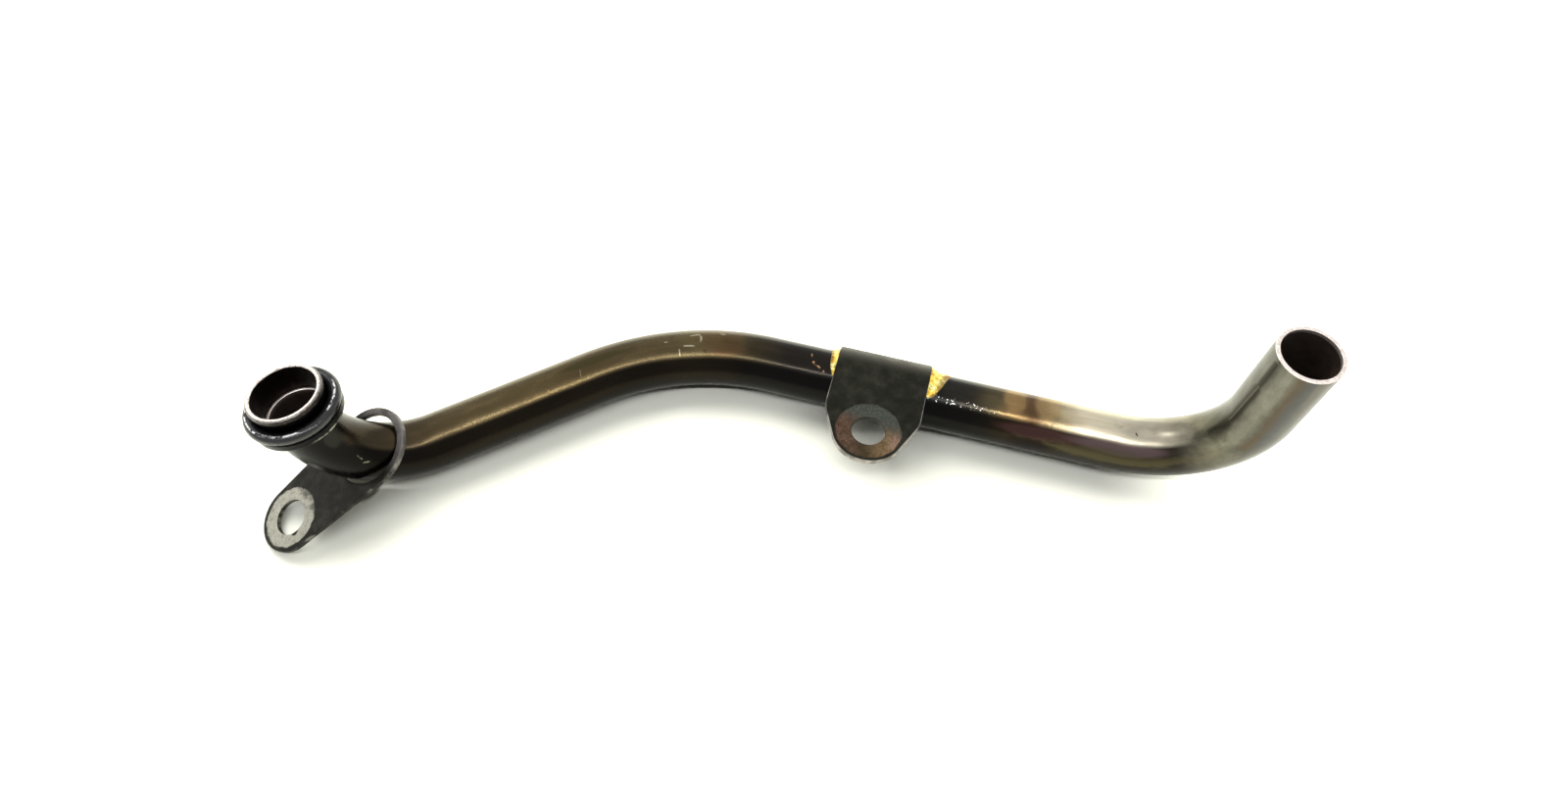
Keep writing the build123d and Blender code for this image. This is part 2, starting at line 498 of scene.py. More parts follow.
# stains: distance along, angle, reach, width, colour, strength, raggedness
bend_stains = [
    (-22, -8, 11, 1.3, (0.0383, 0.036, 0.0099), 0.6, 1),
    (12, -20, 8, 3, (0.1, 0.0625, 0.025), 0.55, 1),
    (13, 8, 7, 2.4, (0.0969, 0.0561, 0.0255), 0.5, 1),
    (-95.5, 8, 5, 4, (0.0252, 0.016, 0.0092), 0.7, 1),
    (-100.5, 38, 4, 3, (0.0126, 0.0126, 0.0092), 0.8, 1),
]
heat_stains = [
    (91, -18, 3.5, 5.6, (0.3364, 0.2146, 0.0899), 0.5, 0.25),
    (95.4, -18, 2.1, 5.6, (0.0991, 0.0557, 0.0248), 0.45, 0.25),
    (99.4, -18, 3.6, 5.6, (0.372, 0.2542, 0.1178), 0.5, 0.25),
    (99, 47, 13, 2, (0.062, 0.0279, 0.0248), 0.7, 0.1),
    (120, 42, 16, 2, (0.1252, 0.0854, 0.0854), 0.65, 0.1),
    (118, 62, 22, 2.4, (0.0694, 0.0578, 0.026), 0.5, 1),
]
leg_smudge = [(150, 22, 8, 3.4, (0.0552, 0.0521, 0.0368), 0.7, 1)]

# marks: (distance along, angle) at both ends, width
dark_leg_line = [((149, 25), (157, 19), 2.6), ((157, 19), (173, 23), 1.9)]
dark_leg_line += [((173, 23), (182.5, 22), 1.2)]
bright_leg_line = [((158, 19.5), (174, 23.5), 0.34)]
golden_leg_streak = [((154, 74), (164, 79), 1.6), ((164, 79), (186, 73), 2.3)]
blue_leg_streak = [((158, 94), (186, 89), 2.4)]
brown_leg_streak = [((166, 116), (186, 108), 1.6)]
scratch_marks = [
    ((4.2, -21), (6.4, -24), 0.34),
    ((6.4, -24), (7, -15), 0.34),
    ((7, -15), (6.9, -4), 0.4),
    ((1.1, 12), (1.2, 24), 0.2),
    ((2.4, 5), (5.2, 6), 0.3),
    ((-25.9, 3), (-26.4, 18), 0.14),
    ((-2.5, -8), (-1.8, -8), 0.24),
    ((12, -28), (12.9, -26), 0.3),
    ((-90.2, 50), (-88.4, 54), 0.22),
    ((-87.5, 60), (-86.2, 56), 0.26),
]
nick_marks = [((7.9, 15), (8.4, 21), 0.3), ((123.4, 5), (123.8, 9), 0.35)]
copper_marks = [
    ((36.6, -14), (37.4, 4), 0.26),
    ((37.4, 4), (38.8, 12), 0.4),
    ((39.2, 12), (40.8, 20), 0.34),
]


def pipe_outside():
    p = Paint("pipe_outside")
    straight = p.attribute("straight")
    top, front, along = p.split(straight)
    arc = p.times(p.math("ARCTAN2", front, top), tube_radius)
    broad = p.noise(p.stretch(straight, 0.16, 0.16, 0.05), 1.0, 4.0)
    blotch = p.noise(p.stretch(straight, 0.35, 0.35, 0.16, (3.0, 1.0, 5.0)), 1.0, 4.0, 0.6)
    fine = p.noise(straight, 0.9, 4.0, 0.6)
    grain = p.noise(straight, 4.0, 2.0, 0.6)
    streaks = p.noise(p.stretch(straight, 1.1, 1.1, 0.06), 1.0, 2.0, 0.5)
    rings = p.noise(p.stretch(straight, 0.25, 0.25, 2.6), 1.0, 2.0, 0.5)
    wandering = p.plus(along, p.swing(p.noise(straight, 0.17, 1.0), 8.0))
    place = p.between(wandering, along_start, along_end, smooth=False)
    length = along_end - along_start
    colour = p.ramp(place, [((at - along_start) / length, tint) for at, tint in pipe_colours])
    shade = p.mix(p.between(broad, 0.38, 0.66), (0.8, 0.78, 0.76), (1.14, 1.12, 1.1))
    colour = p.tinted(colour, shade)
    colour = p.shaded(p.between(streaks, 0.52, 0.75, 0.0, 0.35), colour, (1.5, 1.42, 1.3))
    colour = p.shaded(p.between(blotch, 0.54, 0.72, 0.0, 0.45), colour, (0.62, 0.6, 0.55))
    # painted shade: the leg is darkened towards its front, and from the inside of the bend round to its back
    painted_leg_front_shade = p.times(p.between(along, 140.0, 156.0), p.between(arc, 6.5, 10.0, 0.0, 0.45))
    colour = p.mix(painted_leg_front_shade, colour, (0.0, 0.0, 0.0))
    painted_leg_back_shade = p.times(p.between(along, 146.0, 160.0), p.between(arc, 3.0, 0.0, 0.0, 0.35))
    colour = p.mix(painted_leg_back_shade, colour, (0.0, 0.0, 0.0))
    # painted shade: the underside is darkened, up to the hose bend
    under = p.times(p.between(arc, 3.2, 4.6), p.fall(along, 134.0, 150.0))
    dimming = p.mix(p.between(along, 84.0, 104.0), (0.075, 0.068, 0.058), (0.045, 0.04, 0.035))
    colour = p.shaded(under, colour, dimming)

    wobble = p.swing(blotch, 1.4)

    def stained(colour, stains):
        for at, angle, reach, width, tint, strength, ragged in stains:
            spot = p.patch((top, front, along), at, angle, reach, width, p.times(wobble, ragged))
            colour = p.mix(p.times(spot, strength), colour, tint)
        return colour

    def drawn(colour, across, marks, soft, strength, tint):
        return p.mix(p.times(p.strokes(along, across, marks, soft), strength), colour, tint)

    colour = stained(colour, bend_stains)
    colour = stained(colour, heat_stains)
    # olive clouds on the leg, the dark smudge inside the hose bend and the lines up the leg
    clouds = p.noise(p.stretch(straight, 0.42, 0.42, 0.26, (1.0, 7.0, 2.0)), 1.0, 4.0, 0.62)
    cloudy = p.times(p.between(clouds, 0.4, 0.62), p.between(along, 126.0, 142.0, 0.0, 0.36))
    colour = p.shaded(cloudy, colour, (0.52, 0.51, 0.46))
    colour = stained(colour, leg_smudge)
    colour = drawn(colour, arc, dark_leg_line, 0.3, 0.85, (0.0364, 0.035, 0.0252))
    colour = drawn(colour, arc, bright_leg_line, 0.3, 0.8, (0.1736, 0.1708, 0.14))
    ragged = p.plus(arc, p.swing(streaks, 1.6))
    colour = drawn(colour, ragged, golden_leg_streak, 0.1, 0.7, (0.0756, 0.0504, 0.0266))
    colour = drawn(colour, ragged, blue_leg_streak, 0.2, 0.6, (0.056, 0.056, 0.0602))
    colour = drawn(colour, ragged, brown_leg_streak, 0.1, 0.5, (0.0672, 0.0504, 0.0336))
    # scratches down to bright metal, two dark nicks and the copper that spattered from the left braze
    scratches = p.strokes(along, p.plus(arc, p.swing(grain, 0.3)), scratch_marks, 0.2)
    scratches = p.times(scratches, p.between(fine, 0.38, 0.6, 0.25, 0.85))
    scratches = p.times(scratches, p.between(along, -30.0, -10.0, 0.4, 1.0))
    colour = p.mix(scratches, colour, (0.5, 0.45, 0.33))
    colour = drawn(colour, arc, nick_marks, 0.3, 0.9, (0.02, 0.018, 0.015))
    copper = p.strokes(along, p.plus(arc, p.swing(fine, 1.2)), copper_marks, 0.0)
    copper = p.times(copper, p.between(fine, 0.44, 0.58, 0.0, 0.8))
    colour = p.mix(copper, colour, (0.85, 0.48, 0.26))
    # the black zone round the bracket is the smoothest, and the leg the roughest
    rough = p.times(p.between(along, 14.0, 32.0), p.fall(along, 84.0, 100.0))
    rough = p.between(rough, 0.0, 1.0, 0.265, 0.17, smooth=False)
    rough = p.plus(rough, p.swing(fine, 0.03))
    rough = p.plus(rough, p.swing(broad, 0.12))
    rough = p.plus(rough, p.times(p.band(along, 106.0, 140.0, 8.0), 0.05))
    rough = p.plus(rough, p.between(along, 150.0, 168.0, 0.0, 0.1))
    # painted highlight: white flecks are painted along the light line in the black zone
    painted_glint_flecks = p.fall(p.cells(p.stretch(straight, 1.0, 1.0, 0.8), 1.6), 0.2, 0.28)
    painted_glint_flecks = p.times(painted_glint_flecks, p.times(p.band(along, 68.0, 86.0, 2.5), p.band(arc, 2.2, 3.7, 0.3)))
    painted_glint_flecks = p.times(painted_glint_flecks, p.between(fine, 0.38, 0.46))
    colour = p.mix(painted_glint_flecks, colour, (0.95, 0.94, 0.9))
    rough = p.plus(rough, p.times(painted_glint_flecks, 0.25))
    # the finish is smooth, with pits beside the right braze and fine rings before the hose bend
    pits = p.between(p.band(along, 69.0, 82.0, 3.0), 0.0, 1.0, 0.008, 0.7, smooth=False)
    height = p.plus(p.times(fine, 0.03), p.times(streaks, 0.02))
    height = p.plus(height, p.times(grain, pits))
    height = p.plus(height, p.times(rings, p.times(p.band(along, 104.0, 120.0, 4.0), 0.2)))
    black = p.times(p.between(along, 14.0, 32.0), p.fall(along, 80.0, 96.0))
    return p.finish(
        Base_Color=colour,
        Metallic=p.between(black, 0.0, 1.0, 0.95, 0.82, smooth=False),
        Roughness=rough,
        Normal=p.bump(height, 0.03),
        Coat_Weight=0.1,
        Coat_Roughness=0.22,
        Specular_IOR_Level=0.1,
    )


def pipe_inside():
    p = Paint("pipe_inside")
    # the bore is painted nearly black, with a mottle
    bore_mottle = p.noise(p.attribute("straight"), 0.5, 4.0)
    colour = p.ramp(bore_mottle, [(0.3, (0.012, 0.008, 0.006)), (0.7, (0.035, 0.022, 0.016))])
    return p.finish(Base_Color=colour, Metallic=0.2, Roughness=0.6)


def pipe_rim():
    p = Paint("pipe_rim")
    marks = p.noise(p.stretch(p.attribute("straight"), 2.0, 2.0, 8.0), 1.0, 3.0)
    colour = p.ramp(marks, [(0.3, (0.62, 0.52, 0.46)), (0.7, (0.98, 0.92, 0.88))])
    return p.finish(Base_Color=colour, Metallic=0.8, Roughness=0.28, Normal=p.bump(marks, 0.03))


def spigot_metal():
    p = Paint("spigot_metal")
    place = p.attribute("turned")
    x, y, h = p.split(place)
    radius = p.length(x, y)
    grime = p.noise(place, 0.5, 5.0, 0.65)
    scuffs = p.noise(p.stretch(place, 1.0, 1.0, 1.3), 1.5, 5.0, 0.75)
    dark = p.ramp(grime, [(0.3, (0.0012, 0.0012, 0.0014)), (0.7, (0.006, 0.0056, 0.0052))])
    bare = p.ramp(
        scuffs,
        [(0.36, (0.34, 0.2, 0.15)), (0.46, (0.86, 0.74, 0.67)), (0.56, (1.0, 0.96, 0.92))],
    )
    rubbed = p.ramp(scuffs, [(0.42, (0.004, 0.0035, 0.003)), (0.68, (0.07, 0.054, 0.049))])
    # the lip is worn bare on its crest and rubbed on its wall
    crest = p.between(p.plus(h, p.swing(grime, 0.7)), -0.5, -0.2)
    crest = p.times(crest, p.between(radius, 8.15, 8.5, 1.0, 0.25))
    colour = p.mix(p.band(h, -2.0, -0.5, 0.3), dark, rubbed)
    colour = p.mix(crest, colour, bare)
    # painted highlight: light patches on the lower edge of the flange, on the side towards the pipe's run
    flange = p.band(h, -spigot_length - 0.2, -spigot_length + 0.75, 0.2)
    flange = p.times(p.times(flange, p.between(x, 0.0, 7.0)), p.between(grime, 0.4, 0.55))
    colour = p.mix(p.times(flange, 0.7), colour, (0.42, 0.4, 0.34))
    socket = p.times(p.fall(radius, 7.7, 7.95), p.fall(h, -1.6, -0.45))
    colour = p.mix(socket, colour, (0.02, 0.012, 0.01))
    return p.finish(
        Base_Color=colour,
        Metallic=p.between(crest, 0.0, 1.0, 0.85, 0.25),
        Roughness=p.between(crest, 0.0, 1.0, 0.3, 0.33),
        Normal=p.bump(scuffs, 0.08),
        Coat_Weight=0.05,
        Coat_Roughness=0.05,
        Specular_IOR_Level=0.05,
    )


def ring_rubber():
    p = Paint("ring_rubber")
    place = p.attribute("turned")
    film = p.noise(place, 0.9, 3.0)
    grit = p.noise(place, 3.0, 3.0)
    colour = p.ramp(grit, [(0.4, (0.003, 0.003, 0.0035)), (0.7, (0.008, 0.008, 0.009))])
    # painted highlight: white metallic patches stand for an oil film's glints, broken up along the upper
    # outside of the ring
    x, y, h = p.split(place)
    radius = p.length(x, y)
    turn = p.math("DIVIDE", p.math("ARCTAN2", y, x), pi)
    broken = p.noise(p.join(p.times(turn, 26.0), p.times(radius, 1.2), h), 1.0, 1.5, 0.5)
    outside = p.band(radius, ring_radius + 0.3, ring_radius + 0.62, 0.14)
    upper = p.between(h, ring_height + 0.2, ring_height + 0.8)
    far_side = p.band(p.math("ABSOLUTE", turn), 0.76, 1.1, 0.06)
    painted_glints = p.most(p.band(turn, -0.22, 0.03, 0.05), far_side)
    painted_glints = p.most(painted_glints, p.times(p.band(turn, -0.66, -0.46, 0.05), 0.9))
    painted_glints = p.times(painted_glints, p.times(outside, upper))
    painted_glints = p.times(painted_glints, p.between(broken, 0.44, 0.54))
    return p.finish(
        Base_Color=p.mix(painted_glints, colour, (0.98, 0.98, 1.0)),
        Metallic=painted_glints,
        Roughness=p.plus(p.between(film, 0.4, 0.6, 0.1, 0.3), p.times(painted_glints, 0.1)),
        Normal=p.bump(film, 0.07),
    )


def plate_metal():
    p = Paint("plate_metal")
    plan = p.attribute("plan")
    x, y, z = p.split(plan)
    mottle = p.noise(plan, 0.33, 5.0, 0.6)
    grain = p.noise(plan, 2.2, 3.0, 0.6)
    dark = p.ramp(
        mottle,
        [(0.32, (0.0077, 0.0073, 0.0052)), (0.5, (0.0133, 0.0123, 0.0091)), (0.68, (0.0332, 0.0308, 0.0252))],
    )
    from_hole = p.minus(x, plate_hole_spacing)
    wobble = p.swing(p.noise(plan, 0.55, 4.0), 1.2)
    radius = p.plus(p.length(from_hole, y), wobble)
    # the washer's mark round the bolt hole, dimmer on the side towards the pipe
    mark = p.times(p.band(radius, 4.2, 7.7, 0.25), p.between(z, 0.45, 0.7))
    rubbed = p.times(mark, p.between(p.noise(plan, 0.9, 4.0, 0.65), 0.3, 0.5, 0.6, 1.0))
    dimming = p.plus(p.minus(0.0, from_hole), p.swing(mottle, 12.0))
    rubbed = p.times(rubbed, p.between(dimming, 4.5, 7.5, 1.0, 0.3))
    bare = p.ramp(grain, [(0.35, (0.312, 0.3, 0.246)), (0.65, (0.468, 0.456, 0.384))])
    # painted highlight: the band's far side is painted lighter
    painted_band_sheen = p.times(p.between(x, -1.0, -7.0, 0.0, 0.7), p.between(mottle, 0.38, 0.55, 0.5, 1.0))
    dark = p.mix(painted_band_sheen, dark, (0.2, 0.185, 0.18))
    colour = p.mix(rubbed, dark, bare)
    # a small dark patch painted on the hole's edge
    dark_edge_patch = p.length(p.minus(from_hole, 0.4), p.minus(y, plate_bolt_hole / 2))
    dark_edge_patch = p.fall(p.plus(dark_edge_patch, wobble), 0.8, 1.15)
    colour = p.mix(dark_edge_patch, colour, (0.012, 0.011, 0.009))
    edge_lightening = p.between(p.noise(plan, 0.35, 3.0), 0.5, 0.7, 0.0, 0.5)
    edge = p.times(p.between(p.attribute("edge", "Fac"), 0.6, 1.0), edge_lightening)
    return p.finish(
        Base_Color=p.mix(edge, colour, (0.34, 0.32, 0.27)),
        Metallic=p.between(p.most(rubbed, edge), 0.0, 1.0, 0.75, 0.6),
        Roughness=p.between(mottle, 0.3, 0.7, 0.55, 0.42),
        Normal=p.bump(grain, 0.05),
    )


def bracket_metal():
    p = Paint("bracket_metal")
    plan = p.attribute("plan")
    x, y, z = p.split(plan)
    mottle = p.noise(plan, 0.28, 5.0, 0.6)
    grain = p.noise(plan, 2.4, 3.0, 0.6)
    dark = p.ramp(
        mottle,
        [(0.32, (0.009, 0.0094, 0.006)), (0.5, (0.0142, 0.015, 0.0097)), (0.7, (0.0285, 0.0285, 0.021))],
    )
    # the saddle is lighter than the ear
    dark = p.mix(p.between(x, -3.5, 1.0, 0.8, 0.0), dark, (0.075, 0.068, 0.054))
    from_hole = p.minus(x, ear_reach)
    wobble = p.swing(p.noise(plan, 0.5, 4.0), 0.9)
    radius = p.plus(p.length(from_hole, y), wobble)
    # the washer's mark is grey above and rubbed to copper colours below
    mark = p.times(p.band(radius, 3.9, 8.2, 0.25), p.between(z, 0.5, 0.7))
    tilted = p.plus(p.plus(from_hole, p.times(y, -0.18)), p.times(wobble, 6.0))
    lower = p.between(tilted, -4.4, 0.4)
    copper = p.ramp(
        p.between(p.plus(y, p.times(wobble, 3.0)), -8.0, 8.0, smooth=False),
        [
            (0.0, (0.12, 0.068, 0.05)),
            (0.25, (0.12, 0.074, 0.05)),
            (0.5, (0.06, 0.042, 0.022)),
            (0.75, (0.198, 0.132, 0.072)),
            (1.0, (0.294, 0.189, 0.133)),
        ],
    )
    copper = p.shaded(p.between(grain, 0.4, 0.6, 0.0, 0.7), copper, (0.5, 0.5, 0.5))
    patina = p.between(p.noise(plan, 0.75, 3.0, 0.6), 0.44, 0.6, 0.0, 0.8)
    copper = p.shaded(patina, copper, (0.62, 0.6, 0.42))
    upper = p.mix(p.between(grain, 0.35, 0.7), (0.035, 0.038, 0.031), (0.085, 0.09, 0.078))
    colour = p.mix(mark, dark, p.mix(lower, upper, copper))
    # painted highlight: the ear's edge is painted light along its bevel, but not the edge of its hole
    edge_lightening = p.times(p.between(x, 4.0, 12.0), p.between(p.noise(plan, 0.25, 3.0), 0.36, 0.55, 0.35, 1.0))
    edge = p.times(p.between(p.attribute("edge", "Fac"), 0.4, 0.8), edge_lightening)
    edge = p.times(edge, p.between(radius, 5.2, 6.2))
    return p.finish(
        Base_Color=p.mix(edge, colour, (0.34, 0.31, 0.28)),
        Metallic=0.88,
        Roughness=p.between(mottle, 0.3, 0.7, 0.5, 0.38),
        Normal=p.bump(grain, 0.04),
    )


def braze_metal():
    p = Paint("braze_metal")
    plan = p.attribute("plan")
    patina = p.noise(plan, 0.42, 4.0, 0.6)
    ripple = p.noise(plan, 1.1, 3.0)
    brass = [
        (0.32, (0.22, 0.1, 0.016)),
        (0.42, (0.66, 0.38, 0.055)),
        (0.5, (1.0, 0.7, 0.11)),
        (0.6, (1.0, 0.9, 0.36)),
    ]
    thickness = p.split(plan)[2]
    thin = p.between(p.plus(thickness, p.swing(patina, 0.5)), 0.08, 0.34, 0.75, 0.0)
    return p.finish(
        Base_Color=p.mix(thin, p.ramp(patina, brass), (0.16, 0.085, 0.03)),
        Metallic=0.95,
        Roughness=p.between(patina, 0.4, 0.6, 0.36, 0.22),
        Normal=p.bump(ripple, 0.35),
    )


# pipe
def build_pipe():
    columns = 104
    ring_step = 0.46
    bore_step = 1.4
    start_edge = 0.15
    rim_length = 0.2
    rim_depth = 0.25
    bore_edge = 0.12
    mid_wall = (tube_radius + bore_radius) / 2
    skin_inset = 0.012
    rim_start = along_end - rim_length
    rim_radius = tube_radius - rim_depth
    edge_start = along_end - bore_edge
    edge_radius = bore_radius + bore_edge
    outer = np.arange(along_start + start_edge, rim_start, ring_step)
    quarter = np.linspace(0, pi / 2, 5)
    profile = [(along_start, tube_radius - start_edge)]
    profile += [(a, tube_radius) for a in outer]
    profile += [(rim_start + rim_length * sin(t), rim_radius + rim_depth * cos(t)) for t in quarter]
    profile += [(along_end, mid_wall), (along_end, edge_radius)]
    profile += [(edge_start + bore_edge * cos(t), edge_radius - bore_edge * sin(t)) for t in quarter]
    outer_rows = len(outer) + 1
    rim_rows = len(profile)
    profile += [(a, bore_radius) for a in np.arange(along_end - 1.0, along_start + 0.2, -bore_step)]
    profile += [(along_start, bore_radius + start_edge)]
    angle, radius, along, straight = turn_profile(np.array(profile)[:, ::-1], columns)
    # the outside is a little uneven, and set in so that it stays inside the CAD skin
    uneven = 0.01 * lumps(straight * (0.16, 0.16, 0.06), 1.0, 1) + 0.0015 * lumps(straight, 0.5, 2)
    outside = (np.abs(radius.ravel() - tube_radius) < 0.01) * 1.0
    radius = radius + (uneven * outside - skin_inset * outside).reshape(radius.shape)
    points = on_pipe(along, angle, radius).reshape(-1, 3)
    faces = grid_faces(len(profile), columns, wrap_rows=True)
    rows = np.repeat(np.arange(len(profile)), columns)
    kinds = np.where(rows < outer_rows, 0, np.where(rows < rim_rows, 1, 2))
    kinds[rows == len(profile) - 1] = 1
    materials = [pipe_outside(), pipe_rim(), pipe_inside()]
    piece = make_piece("pipe_skin", points, faces, {"straight": straight}, materials, kinds)
    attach(piece, "root")
    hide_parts("pipe")


# turned pieces
def revolve_piece(name, line, material, node, columns=160):
    """Turns a closed (radius, height) line about the spigot's axis."""
    turned = turn_profile(np.asarray(line), columns)[3]
    side = np.cross(spigot_direction, left_direction)
    points = np.outer(turned[:, 0], left_direction) + np.outer(turned[:, 1], side)
    points = points + np.outer(turned[:, 2], spigot_direction) + spigot_mouth
    faces = grid_faces(len(line), columns, wrap_rows=True)
    piece = make_piece(name, points, faces, {"turned": turned}, [material])
    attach(piece, "root")
    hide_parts(node)


def build_spigot():
    flange_top = -(spigot_length - flange_thickness)
    inside_start = -4.0
    # each corner's radius, height and rounding
    corners = np.array([
        (socket_radius, inside_start, 0),
        (socket_radius, 0.0, 0.5),
        (lip_radius, 0.0, 0.6),
        (lip_radius, -lip_height, 0.5),
        (neck_radius, -lip_height - lip_slope, 0.3),
        (neck_radius, flange_top, 0.15),
        (flange_radius, flange_top, 0.45),
        (flange_radius, -spigot_length, 0.45),
        (socket_radius, -spigot_length, 0.1),
        (socket_radius, inside_start, 0),
    ])
    line = spread(rounded(corners[:, :2], corners[:, 2], 7), 0.35)[:-1]
    revolve_piece("spigot_turned", line, spigot_metal(), "spigot")


def build_ring():
    thick = ring_section / 2
    line = [(ring_radius + thick * cos(t), ring_height + thick * sin(t)) for t in full_turn(48)]
    revolve_piece("seal_ring", line[::-1], ring_rubber(), "o_ring", columns=220)


# sheet pieces
def inset_loop(loop, amount):
    """Moves a closed loop inwards. The loop runs anticlockwise."""
    tangent = np.roll(loop, -1, axis=0) - np.roll(loop, 1, axis=0)
    tangent = tangent / np.linalg.norm(tangent, axis=1)[:, None]
    normal = np.stack([-tangent[:, 1], tangent[:, 0]], axis=1)
    return loop + normal * amount


def inside_loop(points, loop):
    """Which points lie inside a closed loop."""
    x, y = points[:, 0], points[:, 1]
    inside = np.zeros(len(points), bool)
    for (ax, ay), (bx, by) in zip(loop, np.roll(loop, -1, axis=0)):
        crosses = (ay > y) != (by > y)
        with np.errstate(divide="ignore", invalid="ignore"):
            cut = (bx - ax) * (y - ay) / (by - ay) + ax
        inside ^= crosses & (x < cut)
    return inside


def in_sheet(points, outer, holes, margin):
    """Which points lie inside the outer loop and outside the holes, all moved by a margin."""
    inside = inside_loop(points, inset_loop(outer, margin))
    for hole in holes:
        inside &= ~inside_loop(points, inset_loop(hole, -margin))
    return inside


def sheet_mesh(outer, holes, thickness, rounding, spacing=0.6):
    """A flat sheet with rounded edges: returns points (x, y, height), edge closeness and faces."""
    quarter = np.linspace(0, pi / 2, 5)
    rim = [(rounding * (1 - sin(t)), thickness / 2 - rounding * (1 - cos(t))) for t in quarter]
    rim += [(inset, -height) for inset, height in reversed(rim)]
    loops = [(outer, 1.0)] + [(hole, -1.0) for hole in holes]
    points, edge, faces = [], [], []
    tops, bottoms = [], []
    for loop, sign in loops:
        first = len(points)
        count = len(loop)
        for k, (inset, height) in enumerate(rim):
            moved = inset_loop(loop, inset * sign)
            points += [(x, y, height) for x, y in moved]
            edge += [0.0 if k in (0, len(rim) - 1) else 1.0] * count
        for k in range(len(rim) - 1):
            for j in range(count):
                a = first + k * count + j
                b = first + k * count + (j + 1) % count
                quad = (a, a + count, b + count, b)
                faces.append(quad if sign > 0 else quad[::-1])
        tops.append(range(first, first + count))
        bottoms.append(range(first + (len(rim) - 1) * count, first + len(rim) * count))
    low = outer.min(0)
    high = outer.max(0)
    xs = np.arange(low[0] + spacing / 2, high[0], spacing)
    ys = np.arange(low[1] + spacing / 2, high[1], spacing)
    grid = np.array([(x + (k % 2) * spacing / 2, y) for k, y in enumerate(ys) for x in xs])
    grid = grid[in_sheet(grid, outer, holes, rounding + spacing * 0.45)]
    for rings, height, up in ((tops, thickness / 2, True), (bottoms, -thickness / 2, False)):
        index = [i for ring in rings for i in ring]
        flat = [Vector(points[i][:2]) for i in index]
        edges = []
        start = 0
        for ring in rings:
            edges += [(start + k, start + (k + 1) % len(ring)) for k in range(len(ring))]
            start += len(ring)
        first = len(points)
        points += [(x, y, height) for x, y in grid]
        edge += [0.0] * len(grid)
        flat += [Vector(g) for g in grid]
        index += list(range(first, first + len(grid)))
        verts, _, triangles, origin, _, _ = delaunay_2d_cdt(flat, edges, [], 0, 1e-7)
        lookup = [index[o[0]] if o else None for o in origin]
        centres = np.array([[sum(verts[i][k] for i in t) / 3 for k in (0, 1)] for t in triangles])
        for t, solid in zip(triangles, in_sheet(centres, outer, holes, rounding)):
            if solid and all(lookup[i] is not None for i in t):
                face = tuple(lookup[i] for i in t)
                faces.append(face if up else face[::-1])
    return np.array(points), np.array(edge), faces


def circle(cx, radius, count):
    """A circle with its centre on the X axis, anticlockwise."""
    turns = full_turn(count)
    return np.stack([cx + radius * np.cos(turns), radius * np.sin(turns)], axis=1)


def arc_points(cx, radius, start, end, count):
    """Part of a circle with its centre on the X axis, anticlockwise."""
    return [(cx + radius * cos(t), radius * sin(t)) for t in np.linspace(start, end, count)]


def build_plate():
    head_radius = plate_hole_radius + plate_band
    touch = acos((head_radius - plate_lobe_radius) / plate_hole_spacing)
    head = arc_points(0, head_radius, touch, 2 * pi - touch, 90)
    lobe = arc_points(plate_hole_spacing, plate_lobe_radius, -touch, touch, 90)
    outer = spread(np.array(head + lobe + head[:1]), 0.5)[:-1]
    holes = [circle(0, plate_hole_radius, 110), circle(plate_hole_spacing, plate_bolt_hole / 2, 64)]
    plan, edge, faces = sheet_mesh(outer, holes, plate_thickness, rounding=0.3)
    points = plate_centre + np.outer(plan[:, 0], lobe_direction) + np.outer(plan[:, 1], plate_side)
    points = points + np.outer(plan[:, 2], plate_normal)
    piece = make_piece("plate_skin", points, faces, {"plan": plan, "edge": edge}, [plate_metal()])
    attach(piece, "root")
    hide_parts("retaining_plate")


def build_bracket():
    middle_radius = sheet_inside + sheet_thickness / 2
    wrap_length = radians(saddle_wrap) * middle_radius
    half = bracket_width / 2
    away = np.array((ear_shoulder, half)) - np.array((ear_reach, 0.0))
    touch = atan2(away[1], away[0]) - acos(ear_end_radius / np.linalg.norm(away))
    end = arc_points(ear_reach, ear_end_radius, -touch, touch, 60)
    line = [(-wrap_length, -half), (ear_shoulder, -half)] + end + [(ear_shoulder, half), (-wrap_length, half)]
    outer = rounded(line, [0, ear_fillet] + [0] * len(end) + [ear_fillet, 0], 10)
    outer = spread(np.vstack([outer, outer[:1]]), 0.5)[:-1]
    shortest = 0.02
    outer = outer[np.linalg.norm(outer - np.roll(outer, 1, axis=0), axis=1) > shortest]
    hole = circle(ear_reach, bracket_bolt_hole / 2, 64)
    plan, edge, faces = sheet_mesh(outer, [hole], sheet_thickness, rounding=0.25)
    # behind the bend line the sheet wraps round the pipe, and before it the ear runs straight on
    bent = np.minimum(plan[:, 0], 0.0) / middle_radius
    reach = np.maximum(plan[:, 0], 0.0)
    radius = middle_radius + plan[:, 2]
    points = (
        bracket_axis
        + np.outer(radius * np.cos(bent), ear_normal)
        + np.outer(radius * np.sin(bent) + reach, ear_forward)
        + np.outer(plan[:, 1], right_direction)
    )
    piece = make_piece("bracket_skin", points, faces, {"plan": plan, "edge": edge}, [bracket_metal()])
    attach(piece, "root")
    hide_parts("saddle_bracket")


